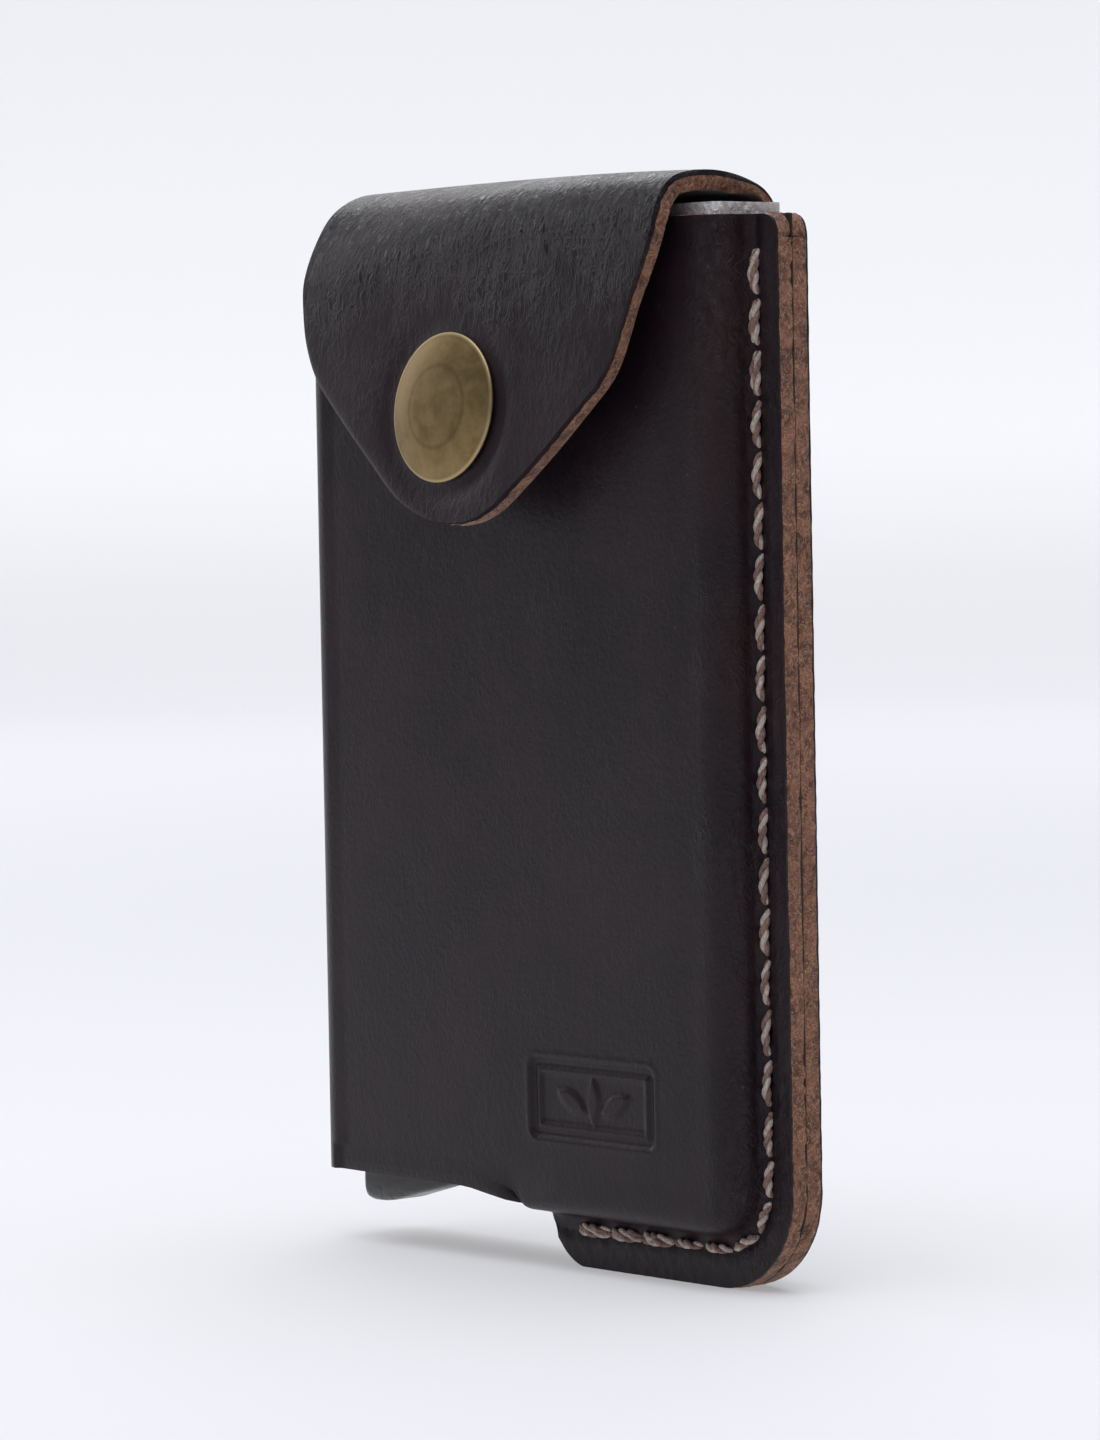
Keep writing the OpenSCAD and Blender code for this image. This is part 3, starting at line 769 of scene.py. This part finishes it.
def build_flap():
    """The flap as one grid: columns from the root over the bend down to the cut outline."""
    rows, columns = 118, 121
    grid = []
    for u in np.linspace(-1, 1, columns):
        off = FLAP_HALF_W * math.sin(u * math.pi / 2)
        x = FLAP_MID_X + off
        left = ((1 - off / FLAP_HALF_W) / 2) ** 2
        path = RIGHT_PATH * (1 - left) + LEFT_PATH * left
        length = np.concatenate([[0], np.cumsum(np.linalg.norm(np.diff(path, axis=0), axis=1))])
        face = int(np.argmax(path[:, 1])) + 8
        stop = np.interp(-flap_low_z(off), -path[face:, 1], length[face:])
        at = np.linspace(0, stop, rows)
        row = []
        depths, heights = (np.interp(at, length, path[:, k]) for k in (0, 1))
        for y, z, rest in zip(depths, heights, stop - at):
            front = smoothstep(-6, -9.5, y)
            rubbed = RUBBED * falloff(rest, 0.5) * smoothstep(2, -8, off)
            curl = CURL * (off / FLAP_HALF_W) ** 4
            crown = CROWN * (1 - (off / FLAP_HALF_W) ** 2) * smoothstep(105, 108, z)
            lean = (face_y(z) - y) * smoothstep(100, 95, z) * front
            narrow = NARROWING * smoothstep(105, 91, z) * front * max(off / FLAP_HALF_W, 0) ** 2
            row.append((x - narrow, y + front * (flap_relief(x, y, z) + curl + rubbed) + lean, z + crown))
        grid.append(row)
    bm = weld([np.array(grid)])
    verts, faces, kinds = thicken(bm, flap_thickness, 7, 2, 0.10, 0.12)
    obj = make_object("flap_leather_tongue", verts, faces, [FLAP_GRAIN, EDGE, FLESH], kinds)
    sharpen(obj, 50)
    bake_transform(obj)
    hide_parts("leather_flap")


build_flap()


# ---- the thread
SEAM_TOP = 100.7
STITCH_LENGTHS = np.concatenate([np.full(18, 4.867), np.linspace(3.9, 4.8, 8)])
STATIONS = np.concatenate([[0], np.cumsum(STITCH_LENGTHS)])
PLY_R, PLY_OFFSET, TWIST = 0.275, 0.21, 1.7  # radius of a ply, its distance from the stitch's line, turns
SUNK, RISE = 0.85, 1.10  # how deep a stitch's ends go and how far its middle comes up again
DOUBLED = 3  # stitches sewn twice at each end of the seam


def seam_point(s):
    """The place (x, z) on the seam at distance s from its upper end."""
    side = SEAM_TOP - SEAM_BEND[1]
    bend = SEAM_R * math.pi / 2
    if s < side:
        return np.array([SEAM_BEND[0] + SEAM_R, SEAM_TOP - s])
    if s < side + bend:
        turn = (side - s) / SEAM_R
        return SEAM_BEND + SEAM_R * np.array([math.cos(turn), math.sin(turn)])
    return np.array([SEAM_BEND[0] - (s - side - bend), SEAM_Z])


def tube(points, radii, sides):
    """Verts and faces of a round tube along points, closed at its ends."""
    points = np.asarray(points)
    tangent = np.gradient(points, axis=0)
    tangent /= np.linalg.norm(tangent, axis=1)[:, None]
    side = np.cross(tangent, [0.31, 0.95, 0.12])
    side /= np.linalg.norm(side, axis=1)[:, None]
    up = np.cross(side, tangent)
    turn = np.linspace(0, 2 * math.pi, sides, endpoint=False)
    rings = [p + r * (np.outer(np.cos(turn), a) + np.outer(np.sin(turn), b))
             for p, r, a, b in zip(points, radii, side, up)]
    verts = np.concatenate(rings)
    faces = ring_quads(len(points), sides)
    faces.append(list(range(sides))[::-1])
    faces.append([len(verts) - sides + k for k in range(sides)])
    return verts, faces


def stitch(a, b, side, fat, shift, inset, lean, rng):
    """The two plies of one stitch from a to b on one side of the flange, as tubes."""
    t = np.linspace(0, 1, 30)
    swell = np.sin(np.pi * t) ** 0.32
    along = (b - a) / np.linalg.norm(b - a)
    across = np.array([along[1], -along[0]])
    start = a + along * inset + across * (shift - lean)
    stop = b - along * inset + across * (shift + lean)
    phase = rng.uniform(0, 2 * math.pi)
    turns = TWIST + 0.15 * rng.standard_normal()
    plies = []
    for ply in (0, 1):
        spin = phase + ply * math.pi - 2 * math.pi * turns * t
        ride = PLY_OFFSET * fat * swell
        lift = -SUNK + (RISE + 0.05 * rng.standard_normal()) * swell + 0.8 * np.sin(spin) * ride
        flat = start + np.outer(t, stop - start) + np.outer(np.cos(spin) * ride, across)
        line = np.stack([flat[:, 0], side * (FLANGE_HALF + lift), flat[:, 1]], 1)
        plies.append(tube(line, PLY_R * fat * (0.6 + 0.4 * swell), 10))
    return plies


def build_thread():
    """Every stitch of both sides as two twisted plies."""
    rng = np.random.default_rng(11)
    plies = [waxed_thread("thread_pale", (0.36, 0.27, 0.22), (0.66, 0.58, 0.52)),
             waxed_thread("thread_brown", (0.13, 0.055, 0.040), (0.36, 0.21, 0.16))]
    verts, faces, kinds = [], [], []
    count = len(STITCH_LENGTHS)
    for side in (-1, 1):
        for i in range(count):
            a, b = seam_point(STATIONS[i]), seam_point(STATIONS[i + 1])
            strands = [(1.0 + 0.05 * rng.standard_normal(), 0.03 * rng.standard_normal())]
            inset, lean = (0.20, 0.13) if i < 19 else (0.22, 0.02)
            if i < DOUBLED:
                strands = [(0.95, -0.16), (0.85, 0.22)]
            if i >= count - DOUBLED:
                strands = [(1.0, -0.20), (0.95, 0.24)]
                inset = 0.02
            for fat, shift in strands:
                for ply, (v, f) in enumerate(stitch(a, b, side, fat, shift, inset, lean, rng)):
                    faces += [[k + len(verts) for k in face] for face in f]
                    kinds += [ply] * len(f)
                    verts += list(v)
    obj = make_object("seam_thread_twist", verts, faces, plies, kinds)
    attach(obj, "sleeve")
    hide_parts("seam_thread")


build_thread()


# ---- the snap's cap
def lathe(profile, steps):
    """Verts and faces of a solid turned about Z; its (radius, height) points start and end on the axis."""
    profile = np.asarray(profile)
    turn = np.linspace(0, 2 * math.pi, steps, endpoint=False)
    verts = [(0, 0, profile[0][1])]
    for r, h in profile[1:-1]:
        verts += [(r * math.cos(a), r * math.sin(a), h) for a in turn]
    verts.append((0, 0, profile[-1][1]))
    rings = len(profile) - 2
    faces = [[0, 1 + (k + 1) % steps, 1 + k] for k in range(steps)]
    faces += ring_quads(rings, steps, 1)
    last = 1 + (rings - 1) * steps
    faces += [[last + k, last + (k + 1) % steps, len(verts) - 1] for k in range(steps)]
    return np.array(verts), faces


def build_cap():
    """The snap's domed cap with its stem through the flap."""
    centre = np.array([SNAP_X, face_y(SNAP_Z), SNAP_Z])
    rim_h, rim_r, height, stem_r, stem_past = 0.5, 0.22, 1.4, 1.6, 0.35
    dome_from = CAP_R - rim_h
    rim = arc_points((CAP_R - rim_r, rim_r), rim_r, -90, 68, 8)
    dome = [(r, rim_h + (height - rim_h) * (1 - (r / dome_from) ** 3)) for r in np.linspace(dome_from, 0, 34)]
    stem_h = -LEATHER_T - stem_past
    profile = [(0, stem_h), (stem_r, stem_h), (stem_r, 0), *map(tuple, rim), *dome]
    verts, faces = lathe(profile, 96)
    turn = Matrix.Rotation(math.radians(90 - LEAN), 3, "X")
    points = np.array([turn @ Vector(v) for v in verts]) + centre
    brass = antique_brass("antique_brass", (centre[0], centre[1] + MID_Y, centre[2]))
    obj = make_object("snap_cap_dome", points, faces, [brass])
    sharpen(obj, 55)
    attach(obj, "flap")
    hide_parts("snap_cap")


build_cap()


# ---- the lever
PIVOT = np.array([-26.9, 12.2])
LEVER_HALF, HUB_HALF = 3.1, 2.3  # half widths of the thumb and arm, and of the hub
HUB_R, BORE_R = 3.2, 1.05


def moulded_plate(outline, y0, y1, radii, lumps=0.0):
    """Verts and faces of a plate drawn in x and z between two depths, with a rounding radius per point."""
    outline = np.asarray(outline, float)
    ahead, behind = np.roll(outline, -1, axis=0) - outline, outline - np.roll(outline, 1, axis=0)
    ahead /= np.linalg.norm(ahead, axis=1)[:, None]
    behind /= np.linalg.norm(behind, axis=1)[:, None]
    inward = np.stack([-(ahead + behind)[:, 1], (ahead + behind)[:, 0]], 1)
    inward /= np.linalg.norm(inward, axis=1)[:, None]
    radii = np.broadcast_to(radii, len(outline))
    rings = []
    for y, way in ((y0, 1), (y1, -1)):
        for turn in np.radians(np.linspace(0, 90, 9))[::-way]:
            flat = outline + inward * (radii * (1 - math.cos(turn)))[:, None]
            ring = np.stack([flat[:, 0], y + way * radii * (1 - math.sin(turn)), flat[:, 1]], 1)
            if lumps:
                off = [lumps * noise.noise(Vector(p * 1.3)) * (1 - abs(math.cos(2 * turn))) for p in ring]
                ring[:, [0, 2]] += inward * np.array(off)[:, None]
            rings.append(ring)
    count = len(outline)
    faces = [[a, d, c, b] for a, b, c, d in ring_quads(len(rings), count)]
    faces.append(list(range(count)))
    faces.append([len(rings) * count - 1 - k for k in range(count)])
    return np.concatenate(rings), faces


def dense(outline, step=0.5):
    """A closed outline with points no further apart than a step."""
    points = []
    for a, b in zip(outline, np.roll(outline, -1, axis=0)):
        count = max(1, math.ceil(np.linalg.norm(b - a) / step))
        points += [a + (b - a) * k / count for k in range(count)]
    return np.array(points)


def ring_plate(centre, outer, inner, y0, y1):
    """Verts and faces of a disc with a bore, between two depths."""
    steps = 48
    turn = np.linspace(0, 2 * math.pi, steps, endpoint=False)
    verts = [(centre[0] + r * math.cos(a), y, centre[1] + r * math.sin(a))
             for r, y in ((outer, y0), (outer, y1), (inner, y1), (inner, y0)) for a in turn]
    faces = [[i * steps + k, i * steps + (k + 1) % steps, (i + 1) % 4 * steps + (k + 1) % steps,
              (i + 1) % 4 * steps + k] for i in range(4) for k in range(steps)]
    return np.array(verts), faces


def build_lever():
    """The thumb tab, the web to the hub, and the arm in five steps that fan the cards."""
    left, low = -30.9, 3.8
    sweep_c, sweep_r = (PIVOT[0] - 1.7, 12.8), 9.0
    sweep = arc_points(sweep_c, sweep_r, -90, -75, 4)
    end = sweep[-1] + np.array([1, math.tan(math.radians(15))]) * (PIVOT[0] + 14.4 - sweep[-1][0])
    corner = arc_points((left + 1.5, low + 1.5), 1.5, 180, 270, 6)
    thumb = [(PIVOT[0] + 12, PIVOT[1] - 1.8), (left, 7.9), *corner, *sweep, end]
    thumb = dense(np.array(thumb))
    radii = np.interp(thumb[:, 0], [left, -28, -20], [1.1, 1.3, 1.9])
    web = PIVOT + np.array([(-3, -1), (-2.9, -5), (0, -5), (5, -3), (3.2, 0)])
    solids = [moulded_plate(thumb, -LEVER_HALF, LEVER_HALF, radii, 0.12),
              moulded_plate(dense(web), -HUB_HALF, HUB_HALF, 0.2),
              ring_plate(PIVOT, HUB_R, BORE_R, -HUB_HALF, HUB_HALF)]
    tips = (24, 18, 12, 6, 0)
    layer = 2 * LEVER_HALF / len(tips)
    for i, tip in enumerate(tips):
        root = PIVOT[0] + 3.45
        arm = [(root, 18), (root, PIVOT[1] - 1.9), (PIVOT[0] + 12, PIVOT[1] - 1.9),
               *arc_points((tip - 1.6, 16.4), 1.6, -80, 90, 8)]
        y = -LEVER_HALF + i * layer
        solids.append(moulded_plate(dense(np.array(arm), 1.0), y, y + layer, 0.15))
    verts, faces = [], []
    for v, f in solids:
        faces += [[k + len(verts) for k in face] for face in f]
        verts += list(v)
    obj = make_object("lever_moulding", verts, faces, [lever_plastic("lever_grey")])
    sharpen(obj, 45, outward=True)
    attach(obj, "lever")
    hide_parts("ejector_lever")


build_lever()


# ---- finishes of the CAD parts that stay
def finish_node(name, material, bevel_mm=0.0):
    """Gives a CAD node its material, and soft edges if bevel_mm is set."""
    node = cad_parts[name]
    node.data.materials.clear()
    node.data.materials.append(material)
    if bevel_mm:
        bevel = node.modifiers.new("soft_edges", "BEVEL")
        bevel.width = bevel_mm * MM
        bevel.segments = 2
        bevel.limit_method = "ANGLE"
        bevel.angle_limit = math.radians(50)


# The shell's colours are painted light: lightened against the shade under the flap, with near-white painted
# glints in the crinkle's highs
SHELL_METAL = metal("shell_metal_painted_glints", (0.66, 0.67, 0.69), (0.99, 0.99, 0.99), (0.14, 0.30), 1300, 0.45,
                    metallic=0.4)
PLAIN_BRASS = metal("plain_brass", (0.42, 0.30, 0.14), (0.60, 0.46, 0.24), (0.26, 0.42), 900, 0.01)
STEEL = metal("spring_steel", (0.52, 0.52, 0.54), (0.68, 0.68, 0.70), (0.22, 0.36), 2400, 0.01, (1, 0.15, 1))
BLACK = plastic("black_moulding", (0.012, 0.012, 0.013), (0.03, 0.03, 0.032), 0.48)
GLUE = plastic("dried_cement", (0.012, 0.008, 0.006), (0.05, 0.028, 0.018), 0.75, 0.08)
TAPE = plastic("adhesive_sheet", (0.55, 0.52, 0.42), (0.70, 0.67, 0.56), 0.55, 0.03)
FELT = felt("black_felt")

finish_node("card_shell", SHELL_METAL, 0.15)
for nodes, finish in (("snap_socket snap_stud snap_post", PLAIN_BRASS), ("snap_spring lever_pin", STEEL),
                      ("floor_plate pivot_bracket", BLACK), ("flange_cement", GLUE),
                      ("front_friction_pad back_friction_pad", FELT), ("front_tape back_tape", TAPE)):
    for node_name in nodes.split():
        finish_node(node_name, finish)


# ---- studio
CAMERA_AZIMUTH, CAMERA_PITCH, CAMERA_ROLL = 49.07, 2.70, -1.04
CAMERA_AT = (421.5, -368.1, 82.6)  # millimetres, about the sleeve's mid-plane
LENS, SENSOR, SHIFT_Y = 140.0, 36.0, -0.0116


def build_stage():
    """A pale floor that sweeps up behind the case."""
    width, depth, back, radius, height = 1.9, 0.9, 2.2, 0.9, 2.4
    line = [(-depth, 0.0), (back - radius, 0.0)]
    line += [(back - radius + radius * math.sin(a), radius - radius * math.cos(a))
             for a in np.radians(np.linspace(0, 90, 25))[1:]]
    line.append((back, height))
    turn = math.radians(CAMERA_AZIMUTH)
    along = np.array([-math.sin(turn), math.cos(turn)])
    across = np.array([math.cos(turn), math.sin(turn)])
    verts = [(*(along * d + across * w), z) for d, z in line for w in (-width / 2, width / 2)]
    mesh = bpy.data.meshes.new("studio_sweep")
    mesh.from_pydata(verts, [], [[2 * i, 2 * i + 1, 2 * i + 3, 2 * i + 2] for i in range(len(line) - 1)])
    for polygon in mesh.polygons:
        polygon.use_smooth = True
    s = Shader("studio_paper")
    s.set(Base_Color=(0.50, 0.50, 0.51, 1), Roughness=0.9, Specular_IOR_Level=0.05)
    # The glow evens the paper out: it fades where the overhead light falls
    away = s.add("VectorMath", out=1, props={"operation": "DISTANCE"}, i0=s.place, i1=(-0.42, 0.36, 0.0))
    glow = s.math("SUBTRACT", s.span(s.axis("Z"), 0.0, 0.09, 0.35, 0.54), s.span(away, 0.05, 0.6, 0.18, 0.0))
    s.set(Emission_Color=(0.874, 0.875, 0.884, 1), Emission_Strength=glow)
    mesh.materials.append(s.material)
    obj = bpy.data.objects.new("studio_sweep", mesh)
    bpy.context.scene.collection.objects.link(obj)


def build_world():
    """A room bright above and darkest behind the camera, which itself sees an even pale backdrop."""
    world = bpy.data.worlds.new("studio")
    bpy.context.scene.world = world
    world.use_nodes = True
    tree = world.node_tree
    background = tree.nodes["Background"]
    direction = tree.nodes.new("ShaderNodeTexCoord")

    def towards(vector, low, high, to_low, to_high):
        """A value set by how closely a ray points along a vector."""
        dot = tree.nodes.new("ShaderNodeVectorMath")
        dot.operation = "DOT_PRODUCT"
        dot.inputs[1].default_value = vector
        tree.links.new(direction.outputs["Generated"], dot.inputs[0])
        ramp = tree.nodes.new("ShaderNodeMapRange")
        ramp.interpolation_type = "SMOOTHSTEP"
        for index, value in ((1, low), (2, high), (3, to_low), (4, to_high)):
            ramp.inputs[index].default_value = value
        tree.links.new(dot.outputs["Value"], ramp.inputs[0])
        return ramp.outputs[0]

    turn = math.radians(CAMERA_AZIMUTH)
    strength = towards((0, 0, 1), 0.62, 1.0, 0.34, 3.0)
    for factor in (towards((math.sin(turn), -math.cos(turn), 0.0), 0.72, 0.99, 1.0, 0.4),
                   towards((math.cos(turn), math.sin(turn), 0.0), 0.2, 0.9, 1.0, 0.45)):
        product = tree.nodes.new("ShaderNodeMath")
        product.operation = "MULTIPLY"
        tree.links.new(strength, product.inputs[0])
        tree.links.new(factor, product.inputs[1])
        strength = product.outputs[0]
    background.inputs["Color"].default_value = (0.91, 0.93, 1.0, 1)
    seen = tree.nodes.new("ShaderNodeLightPath")
    backdrop = tree.nodes.new("ShaderNodeMapRange")
    tree.links.new(seen.outputs["Is Camera Ray"], backdrop.inputs[0])
    tree.links.new(strength, backdrop.inputs[3])
    backdrop.inputs[4].default_value = 0.93
    tree.links.new(backdrop.outputs[0], background.inputs["Strength"])


def area_light(name, at, target, size, watts):
    """A softbox at a place in metres, turned towards its target."""
    light = bpy.data.lights.new(name, "AREA")
    light.shape = "RECTANGLE"
    light.size, light.size_y = size
    light.energy = watts
    obj = bpy.data.objects.new(name, light)
    obj.location = at
    obj.rotation_mode = "QUATERNION"
    obj.rotation_quaternion = (Vector(target) - Vector(at)).to_track_quat("-Z", "Y")
    bpy.context.scene.collection.objects.link(obj)


def build_camera():
    """The photo's camera, solved from the case's straight edges."""
    data = bpy.data.cameras.new("camera")
    data.lens, data.sensor_width, data.shift_y = LENS, SENSOR, SHIFT_Y
    data.clip_start, data.clip_end = 0.02, 20
    camera = bpy.data.objects.new("camera", data)
    look = Matrix.Rotation(math.radians(CAMERA_AZIMUTH), 4, "Z")
    look = look @ Matrix.Rotation(math.radians(90 - CAMERA_PITCH), 4, "X")
    look = look @ Matrix.Rotation(math.radians(CAMERA_ROLL), 4, "Z")
    x, y, z = CAMERA_AT
    camera.matrix_world = Matrix.Translation(Vector((x, y + MID_Y, z)) * MM) @ look
    bpy.context.scene.collection.objects.link(camera)
    bpy.context.scene.camera = camera


bpy.context.scene.view_settings.view_transform = "Standard"
build_camera()
build_stage()
build_world()
area_light("overhead", (-0.62, 0.54, 0.60), (0, 0, 0.1), (0.6, 0.35), 1.6)
area_light("left_softbox", (-0.85, -0.15, 0.45), (0, 0, 0.06), (0.4, 0.7), 1.2)
